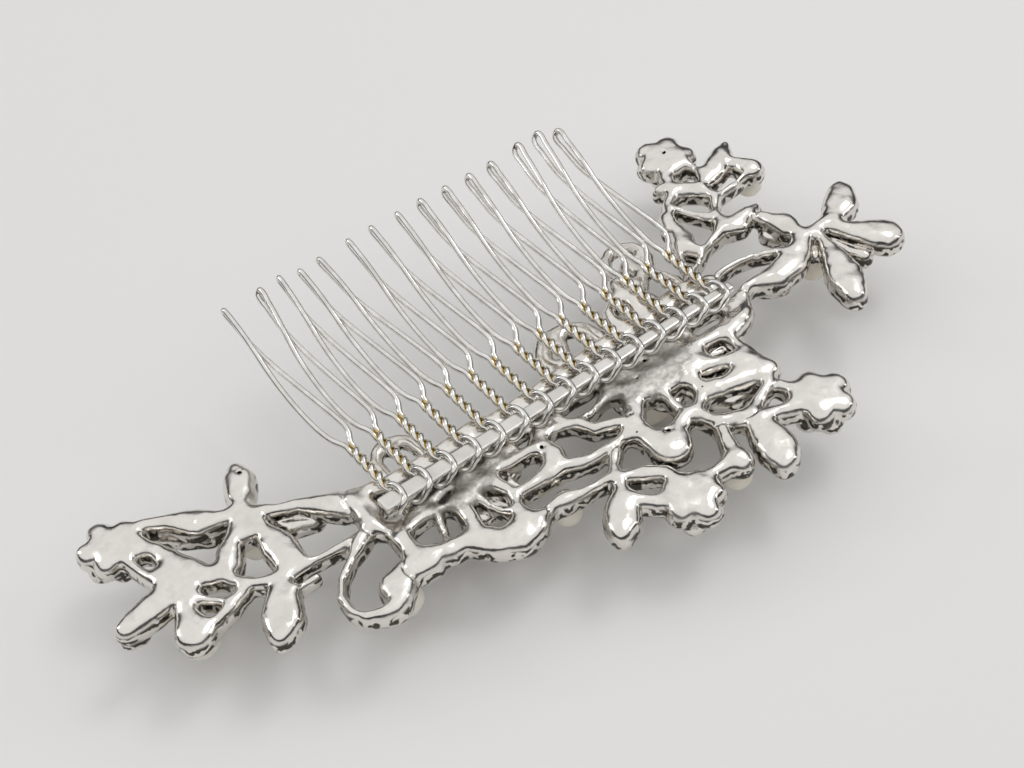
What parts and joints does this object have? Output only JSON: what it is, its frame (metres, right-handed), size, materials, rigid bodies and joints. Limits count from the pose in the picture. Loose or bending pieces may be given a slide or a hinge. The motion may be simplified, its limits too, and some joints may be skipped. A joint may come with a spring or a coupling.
{
  "type": "decorative hair comb",
  "caption": "Decorative hair comb: twisted-wire tines wound on a flat bar, soldered to a cast silver-plated spray of leaves and flowers set with pearls and clear stones",
  "frame": {"origin": "centre of the flat bar that the tines are wound on", "axes": "+X along the bar, the way the spray's longer pair of twigs points; +Y from the bar to the tips of the tines; +Z out of the back of the comb, away from the pearls. The part lies face down, as it does on its pearls."},
  "size_m": [0.1233, 0.0683, 0.0192],
  "materials": {
    "silver_bar": "bright plated flat bar, faint drawing marks",
    "silver_wire": "bright plated round wire",
    "silver_casting": "bright plated zinc casting, smooth flowing surface, frosted grey where it was soldered",
    "solder": "dull grey solder",
    "pearl": "cream imitation pearl, soft lustre",
    "clear_stone": "clear cut glass, foiled back"
  },
  "bodies": {
    "root": {"comb_bar": "silver_bar", "tine_01": "silver_wire", "tine_02": "silver_wire", "tine_03": "silver_wire", "tine_04": "silver_wire", "tine_05": "silver_wire", "tine_06": "silver_wire", "tine_07": "silver_wire", "tine_08": "silver_wire", "tine_09": "silver_wire", "tine_10": "silver_wire", "tine_11": "silver_wire", "tine_12": "silver_wire", "tine_13": "silver_wire", "tine_14": "silver_wire", "tine_15": "silver_wire", "solder_joints": "solder", "centre_casting": "silver_casting", "hook_scroll": "silver_casting", "left_spray": "silver_casting", "lower_twig": "silver_casting", "lower_right_twig": "silver_casting", "right_spray": "silver_casting", "upper_right_twig": "silver_casting", "ring_petal_left": "silver_casting", "ring_petal_middle": "silver_casting", "ring_petal_right": "silver_casting", "middle_flower": "silver_casting", "side_flower": "silver_casting", "pearl_middle_flower": "pearl", "pearl_side_flower": "pearl", "pearl_hook": "pearl", "pearl_left_cup": "pearl", "pearl_left_leaf": "pearl", "pearl_left_lace": "pearl", "pearl_lower_stem": "pearl", "pearl_lower_arc": "pearl", "pearl_right_spray": "pearl", "pearl_right_ring": "pearl", "pearl_upper_bud": "pearl", "flower_stones": "clear_stone", "leaf_stones": "clear_stone"}
  },
  "joints": []
}
